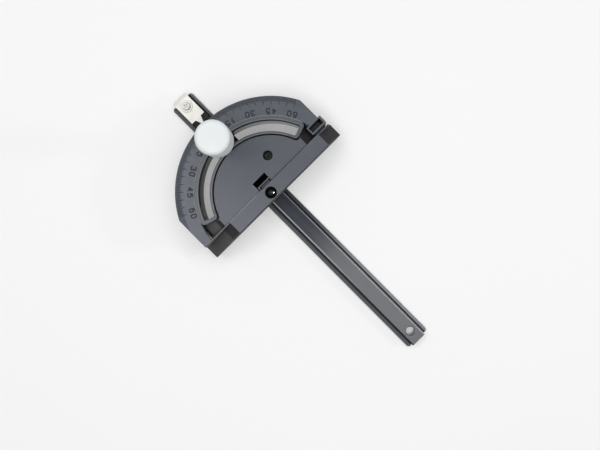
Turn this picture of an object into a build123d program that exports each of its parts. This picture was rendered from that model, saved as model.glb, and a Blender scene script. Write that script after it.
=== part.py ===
from build123d import *
from math import cos, degrees, radians
import os

# Miter gauge: a slotted half-moon protractor head turns on a rivet in a T-section slide bar
# and is clamped by a tall handle whose stud runs through the arc slot into the bar.
# Millimetres. Origin: the pivot axis at the bar's underside. +Z up, +Y along the bar's long end
# (the fence faces that way), -Y towards the pointer and the operator.

# Slide bar
flange_width = 20.4
flange_thick = 3.0
tongue_width = 12.8
bar_height = 9.5
relief_width = 0.9
relief_depth = 1.0
tongue_edge = 0.9
flange_edge = 0.5
bar_corner = 2.2
bar_long_end = 161.7
hang_hole_radius = 3.4
hang_hole_inset = 9.8
hang_hole_chamfer = 0.5

# Protractor head
head_gap = 0.2
head_radius = 71.5
head_flat_cut = 8.2
head_corner = 2.0
head_edge = 0.4
head_rim_fall = 1.2
tick_band = 5.0
ring_top = 37.4
lip_top = 38.0
inner_top = 35.6
deck_thick = 3.4
wall = 3.0
scale_width = 17.8
slot_width = 8.3
slot_half_angle = 68.3
slot_corner = 1.4
lip_outer_width = 3.2
lip_inner_width = 2.0
lip_end_angle = 3.2
lip_corner = 3.1
lip_edge = 0.4
groove_width = 0.9
groove_depth = 1.2
collar = 2.6
rib = 2.2
rib_angles = (-52, -26, 26, 52)

# Fence along the straight side of the head
fence_back = -6.3
fence_face = 5.3
fence_top = 38.0
fence_left_reach = 5.1
fence_right_reach = 2.4
fence_edge = 0.4
ramp_left_run = 13.2
ramp_right_run = 28.1
ramp_end_height = 14.0
ramp_step = 1.0
fence_wall = 3.4
back_wall = 1.2
hollow_end_left = 9.0
hollow_end_right = 14.0

# Sloped pockets at the two ends of the arc slot
pocket_left_rim = 9.9
pocket_right_rim = 8.2
pocket_left_run = 9.7
pocket_right_run = 13.5
pocket_side = -19.0
pocket_fall = 10.0

# Deep socket beside the left ramp
socket_reach = 2.3
socket_length = 13.6
socket_y = (-15.0, -8.1)
socket_outer_wall = 1.5
socket_inner_wall = 0.8
socket_deck_wall = 1.0
socket_slit_wall = 1.2
socket_floor = 16.0
socket_slit_depth = 5.0

# Window behind the pivot, and the shallow pocket beside it with its thin hooked rib
window_x = (-6.9, 5.5)
window_y = (-14.2, -9.4)
window_frame = 2.4
ledge_depth = 4.5
hook_thick = 0.8
hook_gap = 0.9
hook_drop = 0.3

# Stop screw in the inner deck
stop_x = -17.6
stop_y = -21.3
stop_boss_radius = 6.2
stop_screw_radius = 3.4
stop_screw_length = 12.0
stop_screw_sink = 7.0
stop_screw_chamfer = 0.6
stop_hex = 3.0
stop_hex_depth = 2.5
rim_chamfer = 0.4

# Pivot rivet
pivot_boss_radius = 8.6
pivot_radius = 3.0
pivot_clearance = 0.05
pivot_head_radius = 3.95
pivot_head_side = 0.3
pivot_head_sink = 3.8
pivot_dome_rise = 3.6
pivot_well_clearance = 0.3
pivot_tail_radius = 4.4
pivot_tail_depth = 1.6
pivot_tail_sink = 0.2

# Pointer plate and its screw
plate_thick = 1.2
plate_width = 13.1
plate_body = 20.8
tip_gap = 3.7
tip_length = 6.6
tip_base = 5.8
tip_blunt = 0.5
plate_lip_drop = 4.6
plate_bend = 1.0
screw_from_end = 8.3
screw_radius = 2.0
screw_length = 7.0
screw_head_radius = 3.1
screw_head_height = 2.0
screw_head_edge = 0.6
screw_cross_width = 0.9
screw_cross_length = 3.8
screw_cross_depth = 1.1
screw_cross_turn = 20
plate_hole_clearance = 0.3
washer_radius = 4.6
washer_thick = 0.8
washer_edge = 0.25
washer_hole_clearance = 0.2
thread_clearance = 0.05

# Clamp: washer, handle and stud, which stand a little nearer the pivot than the slot's middle
clamp_inset = 0.75
clamp_washer_radius = 5.9
clamp_washer_thick = 1.2
clamp_washer_clearance = 0.25
stud_radius = 3.0
stud_clearance = 0.05
stud_end = 0.6
stud_chamfer = 0.5
stud_in_handle = 26.0
stud_head_flats = 8.0
stud_head_height = 5.0
handle_height = 71.8
handle_base_radius = 5.5
handle_waist_radius = 11.4
handle_top_radius = 11.6
handle_head_height = 33.0
handle_swell = 8.0
handle_edge = 2.6
handle_crown = 0.7
handle_base_edge = 0.4

head_side = head_radius - head_flat_cut
fence_left = -head_side - fence_left_reach
fence_right = head_side + fence_right_reach
ramp_left_start = fence_left + ramp_left_run
ramp_right_start = fence_right - ramp_right_run
pocket_left_end = pocket_left_rim - head_side
pocket_right_end = head_side - pocket_right_rim
pocket_left_start = pocket_left_end + pocket_left_run
pocket_right_start = pocket_right_end - pocket_right_run
socket_left = -head_side - socket_reach
socket_x = (socket_left, socket_left + socket_length)
socket_pocket_x = (socket_x[0] + socket_outer_wall, socket_x[1] - socket_inner_wall)
socket_pocket_y = (socket_y[0] + socket_deck_wall, socket_y[1] - socket_slit_wall)
socket_slit_floor = ring_top - socket_slit_depth
head_bottom = bar_height + head_gap
deck_bottom = inner_top - deck_thick
slot_outer = head_radius - scale_width
slot_inner = slot_outer - slot_width
lip_inner = slot_inner - lip_inner_width
lip_outer = slot_outer + lip_outer_width
lip_half_angle = slot_half_angle + lip_end_angle
clamp_y = clamp_inset - (slot_inner + slot_outer) / 2
plate_tip = -head_radius - tip_gap
plate_shoulder = plate_tip - tip_length
plate_end = plate_shoulder - plate_body
bar_short_end = plate_end + plate_thick
pointer_screw_y = plate_end + screw_from_end
pivot_seat = fence_top - pivot_head_sink
pivot_well = pivot_head_radius + pivot_well_clearance
handle_bottom = lip_top + clamp_washer_thick
handle_top = handle_bottom + handle_height
head_bore = pivot_radius + pivot_clearance


def tube(outer, inner, length):
    """Plain ring standing on the XY plane."""
    return extrude(Circle(outer) - Circle(inner), amount=length)


def block(x, y, z):
    """Box between two X, two Y and two Z values."""
    size = (x[1] - x[0], y[1] - y[0], z[1] - z[0])
    middle = ((x[0] + x[1]) / 2, (y[0] + y[1]) / 2, (z[0] + z[1]) / 2)
    return Pos(*middle) * Box(*size)


def span(x, y):
    """Rectangle between two X and two Y values."""
    return Pos((x[0] + x[1]) / 2, (y[0] + y[1]) / 2) * Rectangle(x[1] - x[0], y[1] - y[0])


def xz_prism(points, y):
    """Polygon given as X, Z points, extruded between two Y values."""
    outline = make_face(Polyline(*points, close=True))
    return extrude(Plane.XZ.offset(-y[1]) * outline, amount=y[1] - y[0])


def arc_band(inner, outer, half_angle, corner):
    """Ring sector about the pivot, centred on -Y, with rounded corners."""
    start = -90 - half_angle
    outer_arc = CenterArc((0, 0), outer, start, 2 * half_angle)
    inner_arc = CenterArc((0, 0), inner, start, 2 * half_angle)
    sides = [Line(outer_arc @ end, inner_arc @ end) for end in (0, 1)]
    band = make_face([outer_arc, inner_arc] + sides)
    return fillet(band.vertices(), corner)


def half_moon(radius, side, back):
    """Plan of the head behind the fence: a disc cut by two flat sides and a straight back."""
    return Circle(radius) & span((-side, side), (-radius, back))


# Slide bar
def bar_section():
    """Inverted T with a small relief groove beside each side of the tongue."""
    half_flange = flange_width / 2
    half_tongue = tongue_width / 2
    relief = half_tongue + relief_width
    groove = flange_thick - relief_depth
    right = [
        (half_flange, 0),
        (half_flange, flange_thick),
        (relief, flange_thick),
        (relief, groove),
        (half_tongue, groove),
        (half_tongue, bar_height),
    ]
    left = [(-x, z) for x, z in reversed(right)]
    return right + left


def bar_hole(radius, y):
    """Upright round cutter through the bar's whole height."""
    return Pos(0, y, 0) * extrude(Circle(radius), amount=bar_height)


def miter_bar():
    bar = xz_prism(bar_section(), (bar_short_end, bar_long_end))
    along = bar.edges().filter_by(Axis.Y)
    bar = fillet(along.filter_by(lambda e: e.center().Z > bar_height - 0.1), tongue_edge)
    along = bar.edges().filter_by(Axis.Y)
    bar = fillet(along.filter_by(lambda e: abs(e.center().X) > flange_width / 2 - 0.1), flange_edge)
    length = bar_long_end - bar_short_end
    plan = Pos(0, (bar_long_end + bar_short_end) / 2) * RectangleRounded(flange_width, length, bar_corner)
    bar = bar & extrude(plan, amount=bar_height)
    bar -= bar_hole(hang_hole_radius, bar_long_end - hang_hole_inset)
    rims = bar.edges().filter_by(GeomType.CIRCLE)
    bar = chamfer(rims.filter_by(lambda e: abs(e.radius - hang_hole_radius) < 0.01), hang_hole_chamfer)
    bar -= bar_hole(pivot_radius + thread_clearance, 0)
    bar -= pivot_tail(thread_clearance)
    bar -= bar_hole(stud_radius + stud_clearance, clamp_y)
    bar -= bar_hole(screw_radius + thread_clearance, pointer_screw_y)
    return bar


# Pivot rivet
def pivot_tail(extra):
    """Countersunk tail of the rivet, sunk a little into the bar's underside."""
    narrow = pivot_radius + extra
    wide = pivot_tail_radius + extra
    outline = Polyline(
        (0, 0), (wide, 0), (wide, pivot_tail_sink), (narrow, pivot_tail_depth), (0, pivot_tail_depth), close=True
    )
    return revolve(Plane.XZ * make_face(outline), Axis.Z)


def pivot_rivet():
    side_top = pivot_seat + pivot_head_side
    top = side_top + pivot_dome_rise
    outline = Polyline(
        (0, top), (0, pivot_tail_sink), (pivot_tail_radius, pivot_tail_sink),
        (pivot_radius, pivot_tail_depth), (pivot_radius, pivot_seat),
        (pivot_head_radius, pivot_seat), (pivot_head_radius, side_top)
    )
    ball = (pivot_head_radius ** 2 + pivot_dome_rise ** 2) / (2 * pivot_dome_rise)
    dome = RadiusArc((pivot_head_radius, side_top), (0, top), -ball)
    return revolve(Plane.XZ * make_face([outline, dome]), Axis.Z)


# Fence
def fence_outline():
    """X, Z outline of the fence, with its two end ramps."""
    return [
        (fence_left, head_bottom),
        (fence_right, head_bottom),
        (fence_right, ramp_end_height),
        (ramp_right_start, fence_top - ramp_step),
        (ramp_right_start, fence_top),
        (ramp_left_start, fence_top),
        (ramp_left_start, fence_top - ramp_step),
        (fence_left, ramp_end_height),
    ]


def fence_hollow(end, end_inset, ramp_start):
    """X, Z outline of the hollow under one half of the fence, from the pivot boss to its end."""
    side = 1 if end > 0 else -1
    ceiling = fence_top - fence_wall - ramp_step
    outer = end - side * end_inset
    return [
        (side * pivot_boss_radius, head_bottom),
        (outer, head_bottom),
        (outer, ramp_end_height),
        (ramp_start - side * fence_wall, ceiling),
        (side * pivot_boss_radius, ceiling),
    ]


def is_concave_step(edge):
    """True for the inner corner where a ramp starts below the fence's top."""
    return abs(edge.center().Z - fence_top + ramp_step) < 0.01


def fence_back_wall():
    """Thin wall at the level of the deck, which runs on behind both ramps."""
    solid = block((socket_left, head_side), (fence_back, fence_back + back_wall), (head_bottom, ring_top))
    top = solid.edges().filter_by(Axis.X).filter_by(lambda e: e.center().Z > ring_top - 0.01)
    return chamfer(top, fence_edge)


def fence():
    solid = xz_prism(fence_outline(), (fence_back, fence_face))
    edges = solid.edges().filter_by(lambda e: e.center().Z > head_bottom + 0.1)
    solid = chamfer(edges.filter_by(lambda e: not is_concave_step(e)), fence_edge)
    solid += fence_back_wall()
    depth = (fence_back + fence_wall, fence_face - fence_wall)
    solid -= xz_prism(fence_hollow(fence_left, hollow_end_left, ramp_left_start), depth)
    solid -= xz_prism(fence_hollow(fence_right, hollow_end_right, ramp_right_start), depth)
    return solid


# Protractor head
def underside_plan():
    """Plan of the hollows under the deck, between the walls, slot collar, bosses and ribs."""
    hollow = half_moon(head_radius - wall, head_side - wall, fence_back - wall)
    hollow -= arc_band(slot_inner - collar, slot_outer + collar, lip_half_angle, slot_corner + collar)
    hollow -= Circle(pivot_boss_radius)
    hollow -= Pos(stop_x, stop_y) * Circle(stop_boss_radius)
    frame_x = (window_x[0] - window_frame, window_x[1] + window_frame)
    hollow -= span(frame_x, (window_y[0] - window_frame, fence_back))
    hollow -= span((pocket_right_start - wall, head_side), (pocket_side - wall, fence_back))
    hollow -= span((-head_side, pocket_left_start + wall), (pocket_side - wall, fence_back))
    for angle in rib_angles:
        hollow -= Rot(0, 0, angle) * span((-rib / 2, rib / 2), (-head_radius, 0))
    return hollow


def lip_plan():
    """Plan of the raised rim with the slot inside it."""
    return arc_band(lip_inner, lip_outer, lip_half_angle, lip_corner)


def groove_plan():
    """Narrow band that runs beside the rim's inner side and round its ends."""
    ends = groove_width / lip_inner
    reach = lip_half_angle + degrees(ends)
    band = arc_band(lip_inner - groove_width, lip_outer, reach, lip_corner)
    return band & recess_plan()


def recess_plan():
    """Plan of the lowered inner deck, which reaches out to the rim's outer circle beyond its ends."""
    plan = half_moon(lip_outer, head_side, fence_back)
    plan -= span(socket_x, socket_y)
    return plan - lip_plan()


def pocket_slopes():
    """Wedges that sink the recess towards its outer corners."""
    right = [
        (pocket_right_start, inner_top),
        (pocket_right_end, inner_top - pocket_fall),
        (pocket_right_end, inner_top),
    ]
    left = [
        (pocket_left_start, inner_top),
        (pocket_left_end, inner_top),
        (pocket_left_end, inner_top - pocket_fall),
    ]
    wedges = xz_prism(right, (pocket_side, fence_back)) + xz_prism(left, (pocket_side, fence_back))
    area = extrude(Pos(0, 0, inner_top - pocket_fall) * recess_plan(), amount=pocket_fall)
    return wedges & area


def rim_bevel():
    """Ring that bevels the graduated band down to the arc's edge."""
    inner = head_radius - tick_band
    beyond = head_radius + tick_band
    outline = Polyline(
        (inner, ring_top), (beyond, ring_top - 2 * head_rim_fall), (beyond, ring_top + 1), (inner, ring_top + 1),
        close=True
    )
    return revolve(Plane.XZ * make_face(outline), Axis.Z)


def deck_block():
    """Outer form of the protractor, with its bevelled band and softened top edge."""
    plan = half_moon(head_radius, head_side, fence_back)
    corners = plan.vertices().filter_by(lambda v: v.Y < fence_back - 1)
    plan = fillet(corners, head_corner)
    body = extrude(Pos(0, 0, head_bottom) * plan, amount=ring_top - head_bottom)
    body -= rim_bevel()
    rim = body.edges().filter_by(lambda e: e.center().Z > ring_top - head_rim_fall - 0.3)
    rim = rim.filter_by(lambda e: e.center().Y < fence_back - 0.1)
    rim = rim.filter_by(is_outer_edge)
    return chamfer(rim, head_edge)


def is_outer_edge(edge):
    """True for the top edges that run round the outside of the head."""
    middle = edge @ 0.5
    reach = (middle.X ** 2 + middle.Y ** 2) ** 0.5
    return reach > head_radius - tick_band / 2 or abs(middle.X) > head_side - 0.7


def slot_lip():
    """Raised rim round the arc slot, with both its top edges softened."""
    inner = arc_band(slot_inner, slot_outer, slot_half_angle, slot_corner)
    lip = extrude(Pos(0, 0, deck_bottom) * (lip_plan() - inner), amount=lip_top - deck_bottom)
    top = lip.edges().filter_by(lambda e: e.center().Z > lip_top - 0.01)
    return chamfer(top, lip_edge)


def socket_block():
    """Walled box beside the left ramp, level with the deck."""
    return block(socket_x, socket_y, (head_bottom, ring_top))


def window_pocket():
    """Shallow pocket between the window and the fence, round a thin rib that hooks to the fence."""
    floor = inner_top - ledge_depth
    pocket = block(window_x, (window_y[1], fence_back), (floor, lip_top))
    hook_end = window_x[1] - hook_gap
    across = (window_y[1], window_y[1] + hook_thick)
    hook = block((window_x[0], hook_end), across, (floor, inner_top - hook_drop))
    hook += block((hook_end - hook_thick, hook_end), (window_y[1], fence_back), (floor, inner_top - hook_drop))
    return pocket - hook


def edge_cone(radius, top):
    """Cutter that chamfers the rim of a round hole at a given height."""
    wide = radius + rim_chamfer
    outline = Polyline((0, top - rim_chamfer), (radius, top - rim_chamfer), (wide, top), (0, top), close=True)
    return revolve(Plane.XZ * make_face(outline), Axis.Z)


def protractor_head():
    body = deck_block()
    body += socket_block()
    body -= extrude(Pos(0, 0, inner_top) * recess_plan(), amount=lip_top - inner_top)
    body += slot_lip()
    body -= Pos(0, 0, inner_top - groove_depth) * extrude(groove_plan(), amount=groove_depth)
    body -= pocket_slopes()
    body -= extrude(Pos(0, 0, head_bottom) * underside_plan(), amount=deck_bottom - head_bottom)
    body -= block((socket_x[0], pocket_left_end), (socket_y[1], fence_back), (socket_slit_floor, lip_top))
    body += fence()
    body -= block(socket_pocket_x, socket_pocket_y, (socket_floor, lip_top))
    body -= extrude(arc_band(slot_inner, slot_outer, slot_half_angle, slot_corner), amount=lip_top)
    body -= block(window_x, window_y, (head_bottom, lip_top))
    body -= window_pocket()
    body -= extrude(Circle(head_bore), amount=lip_top)
    body -= Pos(0, 0, pivot_seat) * extrude(Circle(pivot_well), amount=pivot_head_sink)
    body -= edge_cone(pivot_well, fence_top)
    stop_hole = extrude(Circle(stop_screw_radius + thread_clearance), amount=inner_top)
    body -= Pos(stop_x, stop_y, 0) * (stop_hole + edge_cone(stop_screw_radius + thread_clearance, inner_top))
    return body


# Stop screw
def stop_screw():
    screw = extrude(Circle(stop_screw_radius), amount=stop_screw_length)
    screw = chamfer(screw.edges().filter_by(GeomType.CIRCLE), stop_screw_chamfer)
    key = RegularPolygon(stop_hex / 2, 6, major_radius=False)
    screw -= Pos(0, 0, stop_screw_length - stop_hex_depth) * extrude(key, amount=stop_hex_depth)
    return Pos(stop_x, stop_y, inner_top - stop_screw_sink - stop_screw_length) * screw


# Pointer plate and its screw
def pointer_plate():
    half = plate_width / 2
    outline = Polyline(
        (-half, plate_end), (half, plate_end), (half, plate_shoulder), (tip_base / 2, plate_shoulder),
        (tip_blunt / 2, plate_tip), (-tip_blunt / 2, plate_tip), (-tip_base / 2, plate_shoulder),
        (-half, plate_shoulder), close=True
    )
    top = bar_height + plate_thick
    plate = Pos(0, 0, bar_height) * extrude(make_face(outline), amount=plate_thick)
    plate += block((-half, half), (plate_end, bar_short_end), (bar_height - plate_lip_drop, top))
    fold = plate.edges().filter_by(Axis.X)
    fold = fold.filter_by(lambda e: e.center().Z > top - 0.1 and e.center().Y < plate_end + 0.1)
    plate = fillet(fold, plate_bend)
    return plate - Pos(0, pointer_screw_y, 0) * extrude(Circle(screw_radius + plate_hole_clearance), amount=top)


def pointer_washer():
    ring = tube(washer_radius, screw_radius + washer_hole_clearance, washer_thick)
    rim = ring.edges().filter_by(lambda e: e.center().Z > washer_thick / 2 and e.radius > washer_radius - 0.1)
    ring = chamfer(rim, washer_edge)
    return Pos(0, pointer_screw_y, bar_height + plate_thick) * ring


def pointer_screw():
    shank = extrude(Circle(screw_radius), amount=screw_length)
    head = Pos(0, 0, screw_length) * extrude(Circle(screw_head_radius), amount=screw_head_height)
    top = screw_length + screw_head_height
    head = chamfer(head.edges().filter_by(lambda e: e.center().Z > top - 0.1), screw_head_edge)
    cross = Rectangle(screw_cross_length, screw_cross_width) + Rectangle(screw_cross_width, screw_cross_length)
    cross = Rot(0, 0, screw_cross_turn) * cross
    screw = shank + head - Pos(0, 0, top - screw_cross_depth) * extrude(cross, amount=screw_cross_depth)
    seat = bar_height + plate_thick + washer_thick
    return Pos(0, pointer_screw_y, seat - screw_length) * screw


# Clamp washer, stud and handle
def clamp_washer():
    ring = tube(clamp_washer_radius, stud_radius + clamp_washer_clearance, clamp_washer_thick)
    return Pos(0, clamp_y, lip_top) * ring


def handle_stud():
    """Hex-headed stud moulded into the handle, running down into the bar."""
    inside = handle_bottom + stud_in_handle
    stud = Pos(0, 0, stud_end) * extrude(Circle(stud_radius), amount=inside - stud_end)
    stud = chamfer(stud.edges().filter_by(lambda e: e.center().Z < stud_end + 0.1), stud_chamfer)
    hexagon = RegularPolygon(stud_head_flats / 2, 6, major_radius=False)
    stud += Pos(0, 0, inside - stud_head_height) * extrude(hexagon, amount=stud_head_height)
    return Pos(0, clamp_y, 0) * stud


def handle_outline():
    """Half section: a long cone that swells into an almost straight head with a soft, crowned top."""
    foot = (handle_base_radius, handle_bottom + handle_base_edge)
    waist = (handle_waist_radius, handle_top - handle_head_height)
    shoulder = (handle_top_radius, handle_top - handle_crown)
    peak = (0, handle_top)
    cone = Line(foot, waist)
    head = Line(waist, shoulder)
    crown = Line(shoulder, peak)
    swell_start = cone @ (1 - handle_swell / cone.length)
    swell_end = head @ (handle_swell / head.length)
    edge_inset = handle_edge * (1 - cos(radians(45)))
    outside = Polyline(
        foot, swell_start, swell_end, head @ (1 - handle_edge / head.length),
        (shoulder[0] - edge_inset, shoulder[1] - edge_inset), crown @ (handle_edge / crown.length), peak
    )
    inside = Polyline(peak, (0, handle_bottom), (handle_base_radius - handle_base_edge, handle_bottom), foot)
    return make_face([outside, inside])


def handle_grip():
    form = revolve(Plane.XZ * handle_outline(), Axis.Z)
    return Pos(0, clamp_y, 0) * form - handle_stud()


def write_parts():
    os.makedirs("parts", exist_ok=True)
    pieces = {
        "miter_bar": miter_bar(),
        "pivot_rivet": pivot_rivet(),
        "pointer_plate": pointer_plate(),
        "pointer_washer": pointer_washer(),
        "pointer_screw": pointer_screw(),
        "protractor_head": protractor_head(),
        "stop_screw": stop_screw(),
        "clamp_washer": clamp_washer(),
        "handle_stud": handle_stud(),
        "handle_grip": handle_grip(),
    }
    for name, piece in pieces.items():
        export_step(piece, "parts/" + name + ".step")


write_parts()
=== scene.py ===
import math

import bmesh
import bpy
from mathutils import Matrix, Vector


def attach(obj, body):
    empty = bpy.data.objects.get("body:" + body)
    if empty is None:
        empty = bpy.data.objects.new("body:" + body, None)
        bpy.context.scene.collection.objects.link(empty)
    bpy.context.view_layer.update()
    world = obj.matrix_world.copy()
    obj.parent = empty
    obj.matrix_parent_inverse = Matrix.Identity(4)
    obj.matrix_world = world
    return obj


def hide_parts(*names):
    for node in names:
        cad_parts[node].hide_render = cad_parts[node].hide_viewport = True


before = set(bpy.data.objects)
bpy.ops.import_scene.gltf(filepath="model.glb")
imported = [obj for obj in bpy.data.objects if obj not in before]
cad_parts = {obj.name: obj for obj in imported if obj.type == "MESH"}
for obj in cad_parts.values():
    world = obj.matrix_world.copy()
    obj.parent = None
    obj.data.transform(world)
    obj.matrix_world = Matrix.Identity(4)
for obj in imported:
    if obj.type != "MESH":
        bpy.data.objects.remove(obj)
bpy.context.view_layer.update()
MM = 0.001

# Camera: its place above the paper and its view, worked out from the photograph's ruled squares
PICTURE = (600, 450)
FOCAL_PIXELS = 750.0
CAMERA_HEIGHT = 592.6
NADIR = (-14.53, 24.25)
NADIR_PIXEL = (308.0, 201.9)
SENSOR_WIDTH = 36.0
CLIP_START = 0.01
TURN = math.radians(45.17)
RIGHT = Vector((-math.sin(TURN), math.cos(TURN), 0))
DOWN = Vector((math.cos(TURN), math.sin(TURN), 0))

# Scale on the head, in millimetres and degrees about the pivot
DECK_TOP = 37.4
BEVEL_START = 66.5
BEVEL_FALL = 0.24
SCALE_END = 60
MAJOR_EVERY = 5
NUMBER_EVERY = 15
TICK_END = 71.0
TICK_MINOR = 67.6
TICK_MAJOR = 64.8
TICK_SLOPE = 0.25
TICK_TOP = 0.1
TICK_FOOT = 0.26
TICK_RISE = 0.288
TICK_SINK = 0.1
TICK_END_SINK = 0.05
NUMBER_RADIUS = 59.8
NUMBER_HEIGHT = 3.8
NUMBER_WIDTH = 2.5
NUMBER_GAP = 1.9
NUMBER_RELIEF = 0.36
STROKE = 0.45
STROKE_STEPS = 2
CURVE_STEPS = 5

# Edges of the slot and of the raised lip round it, as distances from the pivot in millimetres, and how far
# inside the lip two of its painted highlight lines run
SLOT_OUTER = 53.7
SLOT_INNER = 45.4
LIP_OUTER = 56.9
LIP_INNER = 43.4
HIGHLIGHT_INSET = 0.4

# Back of the fence, in millimetres
FENCE_BACK = -6.3

# Ranges on the head over which a look sets in, in millimetres along X, Y or Z
LEFT_SIDE_X = (-30, 30)
LEFT_HALF_X = (2, 12)
LEFT_END_X = (44, 46)
POCKET_Y = (-6.5, -8)
RAISED_Y = (-20, -22)
RAISED_Z = (36.9, 37.1)
FENCE_TOP_Z = (37.2, 37.5)
LOW_WALL_Y = (-8, -10)
LOW_WALL_Z = (31, 29)

# Lines on the bar, in millimetres: place, half width and softness across it or along it. They mark painted
# shade and painted highlights
LEFT_SHADE_LINE_X = (6.25, 0.6, 0.4)
RIGHT_SHADE_LINE_X = (-7.5, 0.3, 0.4)
LEFT_HIGHLIGHT_X = (4.7, 0.2, 0.4)
RIGHT_HIGHLIGHT_X = (-6.2, 0.4, 0.3)
TONGUE_X = (0, 6.3, 0.3)
# Where the bar is painted dark as shade under the head and beside the pointer's tip
UNDER_HEAD_Y = (-34, 35, 3)
BESIDE_TIP_Y = (-76, 5.5, 1)

# Ranges on the bar over which a look sets in, in millimetres along X or Y
LEFT_FLANGE_X = (6.8, 7.2)
RIGHT_FLANGE_X = (-8.0, -8.6)
FAR_END_Y = (20, 80)
NEAR_HEAD_Y = (100, 45)
POINTER_END_Y = (-60, -80)

# Where the pointer plate's end is folded down, in millimetres
PLATE_FOLD = -101.0

# Handle, in millimetres: its axis, its foot and top, and the half section between them
HANDLE_Y = -48.8
HANDLE_FOOT = 39.2
HANDLE_TOP = 111.0
HANDLE_WAIST = 78.0
FOOT_RADIUS = 5.5
WAIST_RADIUS = 11.4
SHOULDER_RADIUS = 11.6
CROWN = 0.7
SHOULDER_ROUND = 2.6
SHOULDER_TURN = math.radians(87)
FOOT_ROUND = 0.4
SWELL = 8.0
SWELL_RISE = 0.06
HANDLE_STEPS = 96
FOOT_STEPS = 4
SWELL_STEPS = 12
SHOULDER_STEPS = 10
CROWN_STEPS = 8

# Colours of the moulded head and its scale: the plain one stands in where no pattern is drawn. Some are
# painted light and shade: a lit left side, shaded slopes, lit end slopes, edge highlights, shaded crevices
# and a darker scale
HEAD_PLAIN = (0.036, 0.042, 0.056)
HEAD_SHADED_RIGHT = (0.03, 0.039, 0.055)
HEAD_LIT_LEFT = (0.052, 0.061, 0.081)
HEAD_MOTTLE = (0.058, 0.066, 0.085)
SHADED_GRAIN_DARK = (0.009, 0.009, 0.009)
SHADED_GRAIN_LIGHT = (0.026, 0.025, 0.025)
LIT_END_GRAIN_DARK = (0.043, 0.042, 0.043)
LIT_END_GRAIN_LIGHT = (0.08, 0.079, 0.08)
LIT_POCKET_GREY = (0.1, 0.099, 0.098)
HEAD_EDGE_HIGHLIGHT = (0.2, 0.21, 0.23)
LIP_HIGHLIGHT = (0.2, 0.21, 0.22)
FENCE_HIGHLIGHT = (0.27, 0.28, 0.3)
MARK_PLAIN = (0.012, 0.013, 0.016)
MARK_DARK = (0.007, 0.008, 0.01)
MARK_LIGHT = (0.02, 0.022, 0.027)

# Colours of the bar's coating with its painted light and shade, and of painted shade in the corners of bar
# and head
BAR_PLAIN = (0.03, 0.033, 0.042)
BAR_DARK = (0.018, 0.023, 0.033)
BAR_LIGHT = (0.025, 0.031, 0.044)
BAR_STREAK = (0.045, 0.05, 0.064)
LEFT_FLANGE_SHADED_GREY = (0.055, 0.06, 0.072)
RIGHT_FLANGE_LIT_GREY = (0.095, 0.1, 0.114)
BAR_EDGE_HIGHLIGHT = (0.3, 0.305, 0.32)
BAR_HIGHLIGHT = (0.4, 0.41, 0.43)
BAR_SHADE_UNDER_HEAD = (0.002, 0.002, 0.003)
CREVICE_SHADE = (0.001, 0.001, 0.001)

# Colours of the plated, black and pale pieces, the paper and the card, with painted light and shade on the
# zinc
ZINC_PLAIN = (0.58, 0.57, 0.54)
ZINC_DARK = (0.545, 0.535, 0.5)
ZINC_LIGHT = (0.62, 0.61, 0.575)
ZINC_FOLD = (0.36, 0.355, 0.33)
ZINC_EDGE_HIGHLIGHT = (0.7, 0.69, 0.66)
ZINC_CREVICE_SHADE = (0.12, 0.115, 0.11)
BLACK_STEEL = (0.003, 0.003, 0.004)
HANDLE_PLAIN = (0.69, 0.73, 0.735)
HANDLE_DARK = (0.69, 0.722, 0.73)
HANDLE_LIGHT = (0.72, 0.752, 0.76)
PAPER = (0.93, 0.93, 0.93)
PAPER_GLOW = (0.97, 0.97, 0.97)
CARD_BLACK = (0.01, 0.01, 0.01)

# Open share of the surroundings, where a corner starts to count as a crevice and counts in full
CREVICE = (0.78, 0.5)
CREVICE_SAMPLES = 16

# Cosine of the turn that rounding gives a face, where it starts to count as an edge and counts in full
EDGE = (0.995, 0.86)
ROUNDED_SAMPLES = 6

# Upward share of a face's direction, over which it turns flat or steep
FLAT = (0.8, 0.97)
STEEP = (0.25, 0.1)

# Part of a noise pattern's range that is spread to patches of colour, or to uneven gloss
PATCHES = (0.35, 0.7)
UNEVEN = (0.3, 0.7)

# Fine grain of the moulding, in repeats per millimetre, and its depth in millimetres
GRAIN_PER_MM = 2.2
GRAIN_DEPTH = 0.02

# Floor, in metres: its half width, and from where to where its glow rises from a share to the whole
FLOOR_HALF = 4.0
FLOOR_NEAR = 0.35
FLOOR_FAR = 1.1
FLOOR_GLOW = 0.27

# Strength of the surroundings as a light
WORLD_LIGHT = 0.25

# Ceiling light, in metres from the point under the camera, with a gap that a dark card covers from above
CEILING_HEIGHT = 1.3
CEILING_X = (-0.75, 0.5)
CEILING_Y = (-0.8, 0.5)
GAP_X = (-0.24, 0.15)
GAP_Y = (-0.42, 0.1)
CEILING_RADIANCE = 3.6
LEFT_SHARE = 1.4
RIGHT_SHARE = 0.75
SHADE_MARGIN = 0.02
SHADE_ABOVE = 0.02

# Lamp at the picture's right, in metres
SIDE_REACH = 1.0
SIDE_HEIGHT = 0.56
SIDE_SIZE = 0.1
SIDE_AIM = 0.03
SIDE_RADIANCE = 40.0

# Narrow beam on the pivot: its cone and tilt, its distance in metres, and its aim in millimetres
SPOT_CONE = math.radians(1.0)
SPOT_RADIUS = 0.0003
SPOT_TILT = math.radians(62)
SPOT_REACH = 0.15
SPOT_ASIDE = 2.1
SPOT_ABOVE_DECK = 0.6
SPOT_POWER = 20.0


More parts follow.
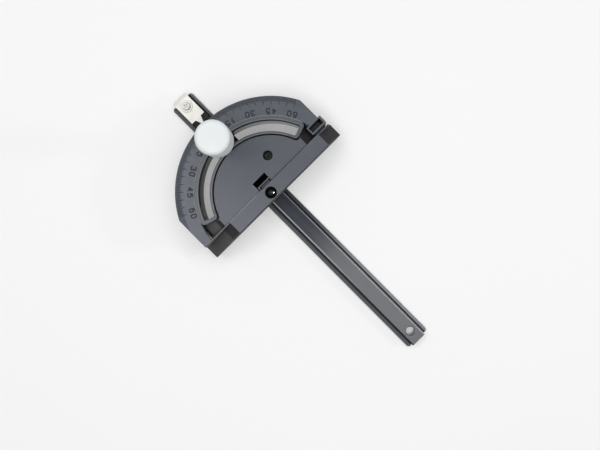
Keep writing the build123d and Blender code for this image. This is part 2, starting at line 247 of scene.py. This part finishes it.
def make_camera():
    """Camera where the photograph was taken from, which looks down with a slight tilt."""
    data = bpy.data.cameras.new("photo_camera")
    data.sensor_width = SENSOR_WIDTH
    data.lens = FOCAL_PIXELS / PICTURE[0] * SENSOR_WIDTH
    data.clip_start = CLIP_START
    camera = bpy.data.objects.new("photo_camera", data)
    bpy.context.collection.objects.link(camera)
    aside = (PICTURE[0] / 2 - NADIR_PIXEL[0]) / FOCAL_PIXELS
    down = (PICTURE[1] / 2 - NADIR_PIXEL[1]) / FOCAL_PIXELS
    look = (Vector((0, 0, -1)) + RIGHT * aside + DOWN * down).normalized()
    back = -look
    side = (RIGHT - back * RIGHT.dot(back)).normalized()
    up = back.cross(side)
    camera.matrix_world = Matrix((side, up, back)).transposed().to_4x4()
    camera.location = (NADIR[0] * MM, NADIR[1] * MM, CAMERA_HEIGHT * MM)
    bpy.context.scene.camera = camera


# Materials
class Finish:
    """A material with short calls for its nodes. Sizes of patterns are given in repeats per millimetre."""

    def __init__(self, name, colour, rough, metal=0.0, level=0.5):
        self.material = bpy.data.materials.new(name)
        self.material.use_nodes = True
        self.nodes = self.material.node_tree.nodes
        self.shader = self.nodes["Principled BSDF"]
        self.shader.inputs["Base Color"].default_value = (*colour, 1)
        self.shader.inputs["Roughness"].default_value = rough
        self.shader.inputs["Metallic"].default_value = metal
        self.shader.inputs["Specular IOR Level"].default_value = level
        self.place = self.nodes.new("ShaderNodeTexCoord").outputs["Object"]

    def link(self, source, socket):
        self.material.node_tree.links.new(source, socket)

    def feed(self, value, socket):
        """Links a socket, or sets a plain value."""
        if isinstance(value, bpy.types.NodeSocket):
            self.link(value, socket)
        else:
            socket.default_value = value

    def stretched(self, scale):
        mapping = self.nodes.new("ShaderNodeMapping")
        self.link(self.place, mapping.inputs["Vector"])
        mapping.inputs["Scale"].default_value = scale
        return mapping.outputs["Vector"]

    def noise(self, per_mm, detail=3.0, rough=0.55, stretch=None):
        node = self.nodes.new("ShaderNodeTexNoise")
        self.link(self.stretched(stretch) if stretch else self.place, node.inputs["Vector"])
        node.inputs["Scale"].default_value = per_mm / MM
        node.inputs["Detail"].default_value = detail
        node.inputs["Roughness"].default_value = rough
        return node.outputs["Fac"]

    def spread(self, value, low, high, to_low=0.0, to_high=1.0):
        """Maps low..high to to_low..to_high, clamped."""
        node = self.nodes.new("ShaderNodeMapRange")
        self.link(value, node.inputs["Value"])
        limits = {"From Min": low, "From Max": high, "To Min": to_low, "To Max": to_high}
        for name, number in limits.items():
            node.inputs[name].default_value = number
        return node.outputs["Result"]

    def math(self, kind, first, second=0.0):
        node = self.nodes.new("ShaderNodeMath")
        node.operation = kind
        self.feed(first, node.inputs[0])
        self.feed(second, node.inputs[1])
        return node.outputs["Value"]

    def both(self, first, second):
        """Product of two shares."""
        return self.math("MULTIPLY", first, second)

    def either(self, first, second):
        """The larger of two shares."""
        return self.math("MAXIMUM", first, second)

    def mix(self, factor, first, second):
        """Colour mix of two colours or colour sockets."""
        node = self.nodes.new("ShaderNodeMix")
        node.data_type = "RGBA"
        self.feed(factor, node.inputs["Factor"])
        for value, socket in ((first, node.inputs[6]), (second, node.inputs[7])):
            self.feed(value if isinstance(value, bpy.types.NodeSocket) else (*value, 1), socket)
        return node.outputs[2]

    def rounded(self, radius_mm):
        """Surface direction with every sharp edge rounded a little."""
        node = self.nodes.new("ShaderNodeBevel")
        node.samples = ROUNDED_SAMPLES
        node.inputs["Radius"].default_value = radius_mm * MM
        return node.outputs["Normal"]

    def edge(self, radius_mm):
        """0 on open faces, up to 1 beside sharp edges."""
        dot = self.nodes.new("ShaderNodeVectorMath")
        dot.operation = "DOT_PRODUCT"
        self.link(self.rounded(radius_mm), dot.inputs[0])
        self.link(self.nodes.new("ShaderNodeNewGeometry").outputs["Normal"], dot.inputs[1])
        return self.spread(dot.outputs["Value"], *EDGE)

    def crevice(self, reach_mm):
        """0 in the open, up to 1 deep in grooves and inner corners of the same part."""
        node = self.nodes.new("ShaderNodeAmbientOcclusion")
        node.samples = CREVICE_SAMPLES
        node.only_local = True
        node.inputs["Distance"].default_value = reach_mm * MM
        return self.spread(node.outputs["AO"], *CREVICE)

    def bump(self, height, depth_mm, normal=None):
        node = self.nodes.new("ShaderNodeBump")
        self.link(height, node.inputs["Height"])
        node.inputs["Distance"].default_value = depth_mm * MM
        node.inputs["Strength"].default_value = 1.0
        if normal:
            self.link(normal, node.inputs["Normal"])
        self.link(node.outputs["Normal"], self.shader.inputs["Normal"])

    def upward(self, low, high):
        """0 on steep faces, 1 on faces that look up, from the slope of the surface itself."""
        split = self.nodes.new("ShaderNodeSeparateXYZ")
        self.link(self.nodes.new("ShaderNodeTexCoord").outputs["Normal"], split.inputs["Vector"])
        return self.spread(split.outputs["Z"], low, high)

    def place_on(self, axis):
        """Where a point lies along one axis of the part."""
        split = self.nodes.new("ShaderNodeSeparateXYZ")
        self.link(self.place, split.inputs["Vector"])
        return split.outputs[axis]

    def along(self, axis, low_mm, high_mm):
        """0 to 1 between two places along one axis of the part."""
        return self.spread(self.place_on(axis), low_mm * MM, high_mm * MM)

    def band(self, value, centre_mm, half_mm, soft_mm):
        """1 where a length lies near a centre, 0 elsewhere."""
        low = centre_mm - half_mm
        high = centre_mm + half_mm
        rise = self.spread(value, (low - soft_mm) * MM, low * MM)
        fall = self.spread(value, (high + soft_mm) * MM, high * MM)
        return self.both(rise, fall)

    def line(self, axis, centre_mm, half_mm, soft_mm):
        """1 on a line of some width across one axis of the part, 0 elsewhere."""
        return self.band(self.place_on(axis), centre_mm, half_mm, soft_mm)

    def ring(self, radius_mm, half_mm, soft_mm=0.25):
        """1 on a ring of some width about the part's upright axis, 0 elsewhere."""
        length = self.nodes.new("ShaderNodeVectorMath")
        length.operation = "LENGTH"
        self.link(self.stretched((1, 1, 0)), length.inputs[0])
        return self.band(length.outputs["Value"], radius_mm, half_mm, soft_mm)

    def set(self, name, value):
        self.feed(value, self.shader.inputs[name])


def lip_edges(finish):
    """Painted highlights: thin light lines on the edges of the slot and its lip, on the raised faces
    towards the pointer.
    """
    outer = finish.either(finish.ring(LIP_OUTER, 0.2), finish.ring(SLOT_OUTER + HIGHLIGHT_INSET, 0.1))
    inner = finish.either(finish.ring(LIP_INNER + HIGHLIGHT_INSET, 0.1), finish.ring(SLOT_INNER, 0.1))
    raised = finish.both(finish.along("Z", *RAISED_Z), finish.along("Y", *RAISED_Y))
    return finish.both(finish.either(outer, inner), raised)


def fence_edge(finish, left_half):
    """Painted highlight along the back edge of the fence's top, plainest on the left half."""
    edge = finish.both(finish.line("Y", FENCE_BACK + 0.2, 0.3, 0.2), finish.along("Z", *FENCE_TOP_Z))
    return finish.both(edge, finish.spread(left_half, 0.0, 1.0, 0.1, 0.8))


def head_colour(finish, flat, groove_shade, left, left_half):
    """Satin flat faces painted lighter on the left, grained slopes painted darker, painted shade and
    highlights.
    """
    mottle = finish.spread(finish.noise(0.05, 4.0), 0.35, 0.68)
    # Painted light: the flat faces are painted lighter towards the left
    satin = finish.mix(left, HEAD_SHADED_RIGHT, HEAD_LIT_LEFT)
    satin = finish.mix(finish.both(mottle, 0.3), satin, HEAD_MOTTLE)
    # Slopes are painted darker than the flat faces, as painted shade over a coarse grain
    coarse = finish.spread(finish.noise(1.4, 3.0, 0.6), *PATCHES)
    slope = finish.mix(coarse, SHADED_GRAIN_DARK, SHADED_GRAIN_LIGHT)
    # Painted light: the slopes at the left end, and in the pocket there, are painted lighter
    at_end = finish.along("X", *LEFT_END_X)
    slope = finish.mix(at_end, slope, finish.mix(coarse, LIT_END_GRAIN_DARK, LIT_END_GRAIN_LIGHT))
    in_pocket = finish.both(at_end, finish.along("Y", *POCKET_Y))
    slope = finish.mix(in_pocket, slope, LIT_POCKET_GREY)
    colour = finish.mix(flat, slope, satin)
    # Painted highlight: edges are lightened where rounding turns the face
    colour = finish.mix(finish.both(finish.edge(0.45), 0.9), colour, HEAD_EDGE_HIGHLIGHT)
    # Painted shade in grooves and inner corners
    colour = finish.mix(groove_shade, colour, CREVICE_SHADE)
    # Painted highlight lines along the lip and slot edges
    colour = finish.mix(finish.both(lip_edges(finish), 0.8), colour, LIP_HIGHLIGHT)
    # Painted highlight along the fence's back edge
    return finish.mix(fence_edge(finish, left_half), colour, FENCE_HIGHLIGHT)


def head_finish():
    """Dark blue-grey moulding: satin flat faces, coarser grain on slopes, with painted light, shade and
    edge highlights.
    """
    finish = Finish("head_moulding", HEAD_PLAIN, 0.38, level=0.47)
    flat = finish.upward(*FLAT)
    left = finish.along("X", *LEFT_SIDE_X)
    left_half = finish.along("X", *LEFT_HALF_X)
    # Painted shade: darkening in grooves and inner corners, taken out on a strip behind the fence on the
    # left half
    behind_fence = finish.both(finish.line("Y", FENCE_BACK - 1, 1.2, 0.5), left_half)
    groove_shade = finish.either(finish.math("SUBTRACT", finish.crevice(1.8), behind_fence), 0.0)
    finish.set("Base Color", head_colour(finish, flat, groove_shade, left, left_half))
    gloss = finish.both(finish.spread(finish.noise(0.3, 4.0), *UNEVEN, 0.33, 0.42), flat)
    low = finish.both(finish.along("Z", *LOW_WALL_Z), finish.along("Y", *LOW_WALL_Y))
    low_wall = finish.both(finish.upward(*STEEP), low)
    polished = finish.both(low_wall, finish.spread(left, 0.0, 1.0, 0.8, 0.5))
    dull = finish.math("SUBTRACT", finish.spread(flat, 0.0, 1.0, 0.95, 0.0), polished)
    finish.set("Roughness", finish.either(dull, finish.either(gloss, groove_shade)))
    finish.bump(finish.noise(GRAIN_PER_MM), GRAIN_DEPTH, normal=finish.rounded(0.3))
    return finish.material


def mark_finish():
    """The same moulding on the raised scale, painted a little darker as shade on the raised marks."""
    finish = Finish("scale_moulding", MARK_PLAIN, 0.5, level=0.3)
    spots = finish.spread(finish.noise(1.1), *PATCHES)
    finish.set("Base Color", finish.mix(spots, MARK_DARK, MARK_LIGHT))
    finish.set("Roughness", finish.spread(finish.noise(0.8), *UNEVEN, 0.4, 0.6))
    finish.bump(finish.noise(GRAIN_PER_MM), GRAIN_DEPTH)
    return finish.material


def bar_finish():
    """Dark satin coating with faint streaks along it, with painted highlights and painted shade."""
    finish = Finish("bar_coating", BAR_PLAIN, 0.16, level=0.45)
    streaks = finish.noise(1.2, 5.0, 0.6, stretch=(1.0, 0.02, 1.0))
    blotch = finish.spread(finish.noise(0.07, 4.0), *PATCHES)
    # Painted shade: dark lines in the corners beside the tongue
    corner_shade = finish.either(finish.line("X", *LEFT_SHADE_LINE_X), finish.line("X", *RIGHT_SHADE_LINE_X))
    # Painted shade: the bar is painted dark under the head and beside the pointer's tip
    beside_tip = finish.both(finish.line("Y", *BESIDE_TIP_Y), finish.line("X", *TONGUE_X))
    shade_under_head = finish.either(finish.line("Y", *UNDER_HEAD_Y), beside_tip)
    left_flange = finish.along("X", *LEFT_FLANGE_X)
    right_flange = finish.along("X", *RIGHT_FLANGE_X)
    far = finish.along("Y", *FAR_END_Y)
    lit = finish.either(far, finish.along("Y", *POINTER_END_Y))
    colour = finish.mix(blotch, BAR_DARK, BAR_LIGHT)
    colour = finish.mix(finish.spread(streaks, 0.45, 0.75, 0.0, 0.35), colour, BAR_STREAK)
    # Painted light: the right flange is painted lighter towards the far end and the pointer's end, the
    # left one in a darker copy as painted shade
    colour = finish.mix(finish.both(right_flange, lit), colour, RIGHT_FLANGE_LIT_GREY)
    colour = finish.mix(left_flange, colour, LEFT_FLANGE_SHADED_GREY)
    # Painted highlight on the bar's edges
    colour = finish.mix(finish.both(finish.edge(0.6), 0.8), colour, BAR_EDGE_HIGHLIGHT)
    # Painted highlights: light lines along the tongue's edges
    right_highlight = finish.both(finish.line("X", *RIGHT_HIGHLIGHT_X), finish.spread(far, 0.0, 1.0, 0.3, 1.0))
    left_highlight = finish.both(finish.line("X", *LEFT_HIGHLIGHT_X), finish.along("Y", *NEAR_HEAD_Y))
    colour = finish.mix(finish.both(finish.either(right_highlight, left_highlight), 0.9), colour, BAR_HIGHLIGHT)
    colour = finish.mix(shade_under_head, colour, BAR_SHADE_UNDER_HEAD)
    # Painted shade in crevices and beside the tongue
    colour = finish.mix(finish.either(finish.crevice(2.2), corner_shade), colour, CREVICE_SHADE)
    finish.set("Base Color", colour)
    worn = finish.either(finish.both(left_flange, 0.58), finish.both(corner_shade, 0.95))
    worn = finish.either(worn, finish.both(shade_under_head, 0.8))
    finish.set("Roughness", finish.either(finish.spread(streaks, *UNEVEN, 0.13, 0.19), worn))
    finish.bump(streaks, 0.004, normal=finish.rounded(0.4))
    return finish.material


def zinc_finish():
    """Bright zinc plate, lightly brushed along the plate, with painted edge highlights and painted shade
    in corners.
    """
    finish = Finish("zinc", ZINC_PLAIN, 0.6, metal=0.6)
    brushed = finish.noise(3.0, 4.0, 0.6, stretch=(1.0, 0.05, 1.0))
    cloud = finish.spread(finish.noise(0.25, 4.0), *PATCHES)
    colour = finish.mix(cloud, ZINC_DARK, ZINC_LIGHT)
    colour = finish.mix(finish.both(finish.line("Y", PLATE_FOLD, 0.15, 0.6), 0.5), colour, ZINC_FOLD)
    # Painted highlight on the plate's edges, and painted shade in its corners
    colour = finish.mix(finish.both(finish.edge(0.25), 0.6), colour, ZINC_EDGE_HIGHLIGHT)
    finish.set("Base Color", finish.mix(finish.crevice(0.6), colour, ZINC_CREVICE_SHADE))
    finish.set("Roughness", finish.spread(brushed, *UNEVEN, 0.54, 0.66))
    finish.bump(brushed, 0.006, normal=finish.rounded(0.15))
    return finish.material


def black_steel_finish(name, rough, level):
    """Blackened steel with a faintly uneven oiled face."""
    finish = Finish(name, BLACK_STEEL, rough, level=level)
    finish.set("Roughness", finish.spread(finish.noise(0.8), *UNEVEN, rough * 0.7, rough * 1.3))
    finish.bump(finish.noise(0.9, 2.0), 0.004, normal=finish.rounded(0.15))
    return finish.material


def handle_finish():
    """Pale smooth plastic, a little milky, with faint flow marks."""
    finish = Finish("handle_plastic", HANDLE_PLAIN, 0.3, level=0.35)
    cloud = finish.spread(finish.noise(0.04), *UNEVEN)
    finish.set("Base Color", finish.mix(cloud, HANDLE_DARK, HANDLE_LIGHT))
    finish.set("Roughness", finish.spread(finish.noise(0.2), *UNEVEN, 0.28, 0.4))
    finish.bump(finish.noise(0.35, 2.0), 0.01)
    return finish.material


def dress(node, material):
    """Gives one node of the solid model its material."""
    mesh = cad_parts[node].data
    mesh.materials.clear()
    mesh.materials.append(material)


# Scale marks and numbers
def surface_height(radius):
    """Height of the head's graduated face at a distance from the pivot, in millimetres."""
    return DECK_TOP - max(0.0, radius - BEVEL_START) * BEVEL_FALL


def on_head(radius, aside, up, turn):
    """Point at a radius towards the pointer, shifted aside, then turned about the pivot."""
    point = Matrix.Rotation(turn, 4, "Z") @ Vector((aside, -radius, up))
    return point * MM


def piece(name, mesh, material, body):
    """A piece that this scene adds, which rides on one moving body."""
    mesh.materials.append(material)
    item = bpy.data.objects.new(name, mesh)
    bpy.context.collection.objects.link(item)
    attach(item, body)
    return item


def to_mesh(name, shape, smooth):
    """Mesh of a finished shape, shaded smooth or in facets."""
    mesh = bpy.data.meshes.new(name)
    shape.to_mesh(mesh)
    shape.free()
    mesh.polygons.foreach_set("use_smooth", [smooth] * len(mesh.polygons))
    return mesh


def tick(shape, inner, turn):
    """Low ridge from one radius to the rim, with sloping sides and ends."""
    stations = [inner, inner + TICK_SLOPE, BEVEL_START, TICK_END - TICK_SLOPE, TICK_END]
    if inner > BEVEL_START:
        stations.remove(BEVEL_START)
    rows = []
    for radius in stations:
        base = surface_height(radius)
        ended = radius in (stations[0], stations[-1])
        crest = base - TICK_END_SINK if ended else base + TICK_RISE
        foot = base - TICK_SINK
        profile = ((-TICK_FOOT, foot), (-TICK_TOP, crest), (TICK_TOP, crest), (TICK_FOOT, foot))
        rows.append([shape.verts.new(on_head(radius, x, z, turn)) for x, z in profile])
    for row, following in zip(rows, rows[1:]):
        for i in range(len(row) - 1):
            shape.faces.new((row[i], row[i + 1], following[i + 1], following[i]))


def make_ticks(material):
    shape = bmesh.new()
    for degree in range(-SCALE_END, SCALE_END + 1):
        inner = TICK_MAJOR if degree % MAJOR_EVERY == 0 else TICK_MINOR
        tick(shape, inner, math.radians(degree))
    bmesh.ops.recalc_face_normals(shape, faces=shape.faces)
    piece("scale_ticks", to_mesh("scale_ticks", shape, smooth=False), material, "head")


# Strokes of each digit in a box one unit wide and one high: (closed, points)
DIGITS = {
    "0": [(True, [(0.5, 1), (0.12, 0.98), (0, 0.72), (0, 0.28), (0.12, 0.02), (0.5, 0), (0.88, 0.02),
                  (1, 0.28), (1, 0.72), (0.88, 0.98)])],
    "1": [(False, [(0.22, 0.78), (0.34, 0.8), (0.52, 0.88), (0.6, 1.0)]),
          (False, [(0.6, 1.0), (0.6, 0.0)])],
    "3": [(False, [(0.03, 0.8), (0.1, 1.0), (0.5, 1.02), (0.95, 0.98), (0.98, 0.6), (0.62, 0.52),
                   (0.4, 0.52)]),
          (False, [(0.4, 0.52), (0.66, 0.53), (1.02, 0.48), (1.03, 0.05), (0.55, -0.03), (0.1, -0.01),
                   (0.0, 0.22)])],
    "4": [(False, [(0.76, 0.0), (0.76, 1.0)]), (False, [(0.76, 1.0), (0.0, 0.27)]),
          (False, [(0.0, 0.27), (1.0, 0.27)])],
    "5": [(False, [(0.92, 1.0), (0.16, 1.0)]), (False, [(0.16, 1.0), (0.07, 0.5)]),
          (False, [(0.07, 0.5), (0.25, 0.64), (0.72, 0.7), (1.03, 0.5), (1.03, 0.1), (0.6, -0.04),
                   (0.1, -0.02), (0.0, 0.2)])],
    "6": [(False, [(0.86, 0.98), (0.5, 1.03), (0.1, 0.86), (0.0, 0.5), (0.0, 0.3)]),
          (True, [(0.0, 0.3), (0.04, 0.56), (0.5, 0.66), (0.94, 0.56), (1.0, 0.3), (0.92, 0.02),
                  (0.5, -0.03), (0.08, 0.02)])],
}


def stroke_curve(data, closed, points, shift):
    """One stroke of a digit, straight between two points and bent smoothly along more."""
    straight = len(points) == 2
    spline = data.splines.new("NURBS")
    spline.points.add(len(points) - 1)
    for point, (x, y) in zip(spline.points, points):
        point.co = (shift + x * NUMBER_WIDTH * MM, y * NUMBER_HEIGHT * MM, 0, 1)
    spline.use_cyclic_u = closed
    spline.use_endpoint_u = not closed
    spline.order_u = 2 if straight else 3
    spline.resolution_u = CURVE_STEPS


def number_mesh(text):
    """Raised digits side by side, centred, lying on the XY plane with their tops towards +Y."""
    data = bpy.data.curves.new("number_" + text, "CURVE")
    data.dimensions = "3D"
    data.bevel_depth = STROKE * MM
    data.bevel_resolution = STROKE_STEPS
    data.use_fill_caps = True
    step = (NUMBER_WIDTH + NUMBER_GAP) * MM
    start = -(len(text) * step - NUMBER_GAP * MM) / 2
    for place, digit in enumerate(text):
        for closed, points in DIGITS[digit]:
            stroke_curve(data, closed, points, start + place * step)
    holder = bpy.data.objects.new("number_" + text, data)
    bpy.context.collection.objects.link(holder)
    bpy.context.view_layer.update()
    depsgraph = bpy.context.evaluated_depsgraph_get()
    mesh = bpy.data.meshes.new_from_object(holder.evaluated_get(depsgraph))
    bpy.data.objects.remove(holder)
    bpy.data.curves.remove(data)
    return mesh


def make_numbers(material):
    shape = bmesh.new()
    for degree in range(-SCALE_END, SCALE_END + 1, NUMBER_EVERY):
        mesh = number_mesh(str(abs(degree)))
        flat = Matrix.Diagonal((1, 1, NUMBER_RELIEF / STROKE, 1))
        lift = Matrix.Translation(Vector((0, -(NUMBER_RADIUS + NUMBER_HEIGHT / 2), DECK_TOP)) * MM)
        mesh.transform(Matrix.Rotation(math.radians(degree), 4, "Z") @ lift @ flat)
        shape.from_mesh(mesh)
        bpy.data.meshes.remove(mesh)
    piece("scale_numbers", to_mesh("scale_numbers", shape, smooth=True), material, "head")


# Handle
def arc(centre, radius, start, end, steps):
    """Points on an arc, as distance from the handle's axis and height."""
    turns = [start + (end - start) * step / steps for step in range(steps + 1)]
    return [(centre[0] + radius * math.cos(turn), centre[1] + radius * math.sin(turn)) for turn in turns]


def bend(start, corner, end, steps):
    """Points on a smooth bend from one point to another, pulled towards a corner."""
    points = []
    for step in range(steps + 1):
        t = step / steps
        first = (1 - t) ** 2
        middle = 2 * t * (1 - t)
        last = t * t
        points.append(tuple(first * a + middle * b + last * c for a, b, c in zip(start, corner, end)))
    return points


def handle_section():
    """Half section of the handle, as radius and height, from its foot on the axis to its crown."""
    slope = math.atan2(WAIST_RADIUS - FOOT_RADIUS, HANDLE_WAIST - HANDLE_FOOT)
    foot = (FOOT_RADIUS - FOOT_ROUND, HANDLE_FOOT + FOOT_ROUND)
    points = [(0.0, HANDLE_FOOT)] + arc(foot, FOOT_ROUND, math.radians(-90), 0, FOOT_STEPS)
    below = (WAIST_RADIUS - SWELL * math.sin(slope), HANDLE_WAIST - SWELL * math.cos(slope))
    above = (WAIST_RADIUS + SWELL_RISE, HANDLE_WAIST + SWELL)
    points += bend(below, (WAIST_RADIUS, HANDLE_WAIST), above, SWELL_STEPS)
    shoulder = (SHOULDER_RADIUS - SHOULDER_ROUND, HANDLE_TOP - CROWN - SHOULDER_ROUND)
    points += arc(shoulder, SHOULDER_ROUND, 0, SHOULDER_TURN, SHOULDER_STEPS)
    rim_radius, rim_height = points[-1]
    for step in range(1, CROWN_STEPS + 1):
        share = 1 - step / CROWN_STEPS
        points.append((rim_radius * share, HANDLE_TOP - (HANDLE_TOP - rim_height) * share ** 2))
    return points


def make_handle(material):
    """Smooth turned form of the grip."""
    shape = bmesh.new()
    section = handle_section()
    turns = [2 * math.pi * i / HANDLE_STEPS for i in range(HANDLE_STEPS)]
    rings = []
    for point in section:
        radius, height = point
        if point in (section[0], section[-1]):
            rings.append([shape.verts.new(Vector((0, HANDLE_Y, height)) * MM)])
            continue
        circle = [(radius * math.cos(turn), HANDLE_Y + radius * math.sin(turn), height) for turn in turns]
        rings.append([shape.verts.new(Vector(place) * MM) for place in circle])
    for ring, following in zip(rings, rings[1:]):
        for i in range(HANDLE_STEPS):
            j = (i + 1) % HANDLE_STEPS
            near = (ring[i % len(ring)], ring[j % len(ring)])
            beyond = (following[j % len(following)], following[i % len(following)])
            shape.faces.new(list(dict.fromkeys(near + beyond)))
    bmesh.ops.recalc_face_normals(shape, faces=shape.faces)
    form = piece("handle_form", to_mesh("handle_form", shape, smooth=True), material, "handle")
    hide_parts("handle_grip")


# Floor and light
def seen_directly(nodes, links):
    """1 where the camera looks at a surface, or sees it mirrored or through glass."""
    path = nodes.new("ShaderNodeLightPath")
    value = path.outputs["Is Camera Ray"]
    for name in ("Is Glossy Ray", "Is Transmission Ray"):
        larger = nodes.new("ShaderNodeMath")
        larger.operation = "MAXIMUM"
        links.new(value, larger.inputs[0])
        links.new(path.outputs[name], larger.inputs[1])
        value = larger.outputs["Value"]
    return value


def flat_sheet(name, low, high, material):
    """One level face between two corners."""
    corners = [low, (high[0], low[1], low[2]), high, (low[0], high[1], low[2])]
    mesh = bpy.data.meshes.new(name)
    mesh.from_pydata(corners, [], [(0, 1, 2, 3)])
    mesh.materials.append(material)
    sheet = bpy.data.objects.new(name, mesh)
    bpy.context.collection.objects.link(sheet)
    return sheet


def make_floor():
    """Pale paper that keeps the shadows and runs out into white far from the object."""
    finish = Finish("paper", PAPER, 0.9, level=0.2)
    nodes = finish.nodes
    links = finish.material.node_tree.links
    glow = nodes.new("ShaderNodeEmission")
    glow.inputs["Color"].default_value = (*PAPER_GLOW, 1)
    distance = nodes.new("ShaderNodeVectorMath")
    distance.operation = "LENGTH"
    links.new(finish.place, distance.inputs[0])
    share = finish.spread(distance.outputs["Value"], FLOOR_NEAR, FLOOR_FAR, FLOOR_GLOW, 1.0)
    mixed = nodes.new("ShaderNodeMixShader")
    links.new(finish.both(share, seen_directly(nodes, links)), mixed.inputs["Fac"])
    links.new(finish.shader.outputs["BSDF"], mixed.inputs[1])
    links.new(glow.outputs["Emission"], mixed.inputs[2])
    links.new(mixed.outputs["Shader"], nodes["Material Output"].inputs["Surface"])
    low = (-FLOOR_HALF, -FLOOR_HALF, 0)
    high = (FLOOR_HALF, FLOOR_HALF, 0)
    floor = flat_sheet("floor", low, high, finish.material)


def make_world():
    """Plain soft light, and a white background wherever it is seen or mirrored."""
    world = bpy.data.worlds.new("studio")
    world.use_nodes = True
    bpy.context.scene.world = world
    nodes = world.node_tree.nodes
    links = world.node_tree.links
    background = nodes["Background"]
    background.inputs["Color"].default_value = (1, 1, 1, 1)
    strength = nodes.new("ShaderNodeMapRange")
    strength.inputs["To Min"].default_value = WORLD_LIGHT
    strength.inputs["To Max"].default_value = 1.0
    links.new(seen_directly(nodes, links), strength.inputs["Value"])
    links.new(strength.outputs["Result"], background.inputs["Strength"])


def aim(item, place, target):
    """Puts a lamp at a place, facing a point."""
    item.location = place
    item.rotation_euler = (Vector(target) - Vector(place)).to_track_quat("-Z", "Y").to_euler()


def lamp(name, place, target, size, radiance):
    """Rectangular soft lamp of a given brightness that faces a point."""
    data = bpy.data.lights.new(name, "AREA")
    data.shape = "RECTANGLE"
    data.size, data.size_y = size
    data.energy = radiance * math.pi * size[0] * size[1]
    item = bpy.data.objects.new(name, data)
    bpy.context.collection.objects.link(item)
    aim(item, place, target)


def make_lamps():
    """A broad ceiling light with a dark gap near the camera, and a small bright lamp low on the right."""
    panels = (
        ("left", (GAP_X[1], CEILING_X[1]), CEILING_Y, LEFT_SHARE),
        ("right", (CEILING_X[0], GAP_X[0]), CEILING_Y, RIGHT_SHARE),
        ("front", GAP_X, (CEILING_Y[0], GAP_Y[0]), 1.0),
        ("rear", GAP_X, (GAP_Y[1], CEILING_Y[1]), 1.0),
    )
    for name, x, y, share in panels:
        middle = Vector((sum(x) / 2, sum(y) / 2, CEILING_HEIGHT)) + Vector((*NADIR, 0)) * MM
        size = (x[1] - x[0], y[1] - y[0])
        lamp("ceiling_" + name, middle, middle - Vector((0, 0, 1)), size, CEILING_RADIANCE * share)
    place = RIGHT * SIDE_REACH + Vector((0, 0, SIDE_HEIGHT))
    lamp("side", place, (0, 0, SIDE_AIM), (SIDE_SIZE, SIDE_SIZE), SIDE_RADIANCE)


def make_spot():
    """Narrow beam from the right that glints on the domed pivot."""
    data = bpy.data.lights.new("pivot_spot", "SPOT")
    data.spot_size = SPOT_CONE
    data.spot_blend = 1.0
    data.shadow_soft_size = SPOT_RADIUS
    data.energy = SPOT_POWER
    spot = bpy.data.objects.new("pivot_spot", data)
    bpy.context.collection.objects.link(spot)
    spot.visible_camera = False
    target = RIGHT * SPOT_ASIDE * MM + Vector((0, 0, (DECK_TOP + SPOT_ABOVE_DECK) * MM))
    tilted = RIGHT * math.sin(SPOT_TILT) + Vector((0, 0, math.cos(SPOT_TILT)))
    aim(spot, target + tilted * SPOT_REACH, target)


def make_shade():
    """Dark card over the gap of the ceiling light, which the glossy faces below the camera mirror."""
    centre = Vector((*NADIR, 0)) * MM + Vector((0, 0, CEILING_HEIGHT + SHADE_ABOVE))
    low = centre + Vector((GAP_X[0] - SHADE_MARGIN, GAP_Y[0] - SHADE_MARGIN, 0))
    high = centre + Vector((GAP_X[1] + SHADE_MARGIN, GAP_Y[1] + SHADE_MARGIN, 0))
    shade = flat_sheet("shade", low, high, Finish("shade_card", CARD_BLACK, 1.0, level=0.0).material)
    shade.visible_camera = False


make_camera()
zinc = zinc_finish()
dress("protractor_head", head_finish())
dress("miter_bar", bar_finish())
for name in ("pointer_plate", "pointer_washer", "pointer_screw", "clamp_washer", "handle_stud"):
    dress(name, zinc)
dress("pivot_rivet", black_steel_finish("black_steel", 0.2, 0.13))
dress("stop_screw", black_steel_finish("dull_black_steel", 0.55, 0.35))
marks = mark_finish()
make_ticks(marks)
make_numbers(marks)
make_handle(handle_finish())
make_floor()
make_world()
make_lamps()
make_spot()
make_shade()

bpy.context.scene.view_settings.view_transform = "Standard"
